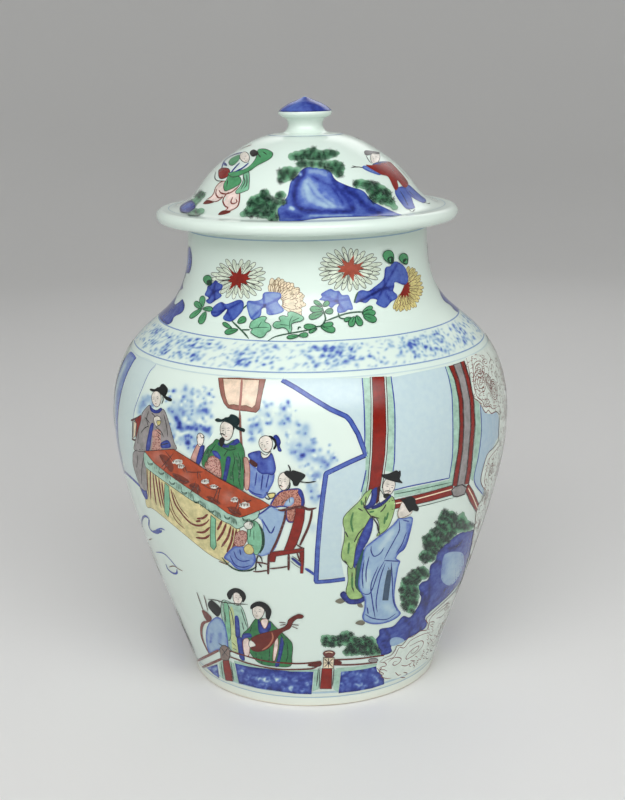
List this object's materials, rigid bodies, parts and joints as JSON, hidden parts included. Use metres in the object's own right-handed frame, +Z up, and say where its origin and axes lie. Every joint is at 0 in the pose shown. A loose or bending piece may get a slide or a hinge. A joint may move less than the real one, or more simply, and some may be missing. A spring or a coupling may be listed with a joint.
{
  "type": "covered baluster jar",
  "caption": "Covered porcelain baluster jar with a swelling shoulder, short neck, domed cover, rolled lip and bud knob, painted in blue and enamels.",
  "frame": {"origin": "centre of the foot, on the surface the jar stands on", "axes": "+Z up along the axis of revolution, through the knob; -Y towards the painted front"},
  "size_m": [0.2732, 0.2732, 0.4],
  "materials": {
    "glazed_porcelain": "glossy clear glaze, faintly blue-green, over underglaze blue, with red, green, yellow and dark overglaze enamels",
    "bare_porcelain": "smooth unglazed fired body, off-white"
  },
  "bodies": {
    "jar": {"lower_body": "glazed_porcelain", "upper_body": "glazed_porcelain", "neck": "glazed_porcelain"},
    "cover": {"cover_dome": "glazed_porcelain", "cover_locating_ring": "bare_porcelain", "knob": "glazed_porcelain"}
  },
  "joints": [
    {"name": "cover_lift", "type": "slide", "parent": "jar", "child": "cover", "axis": [0, 0, 1], "range_m": [0, 0.16]}
  ]
}
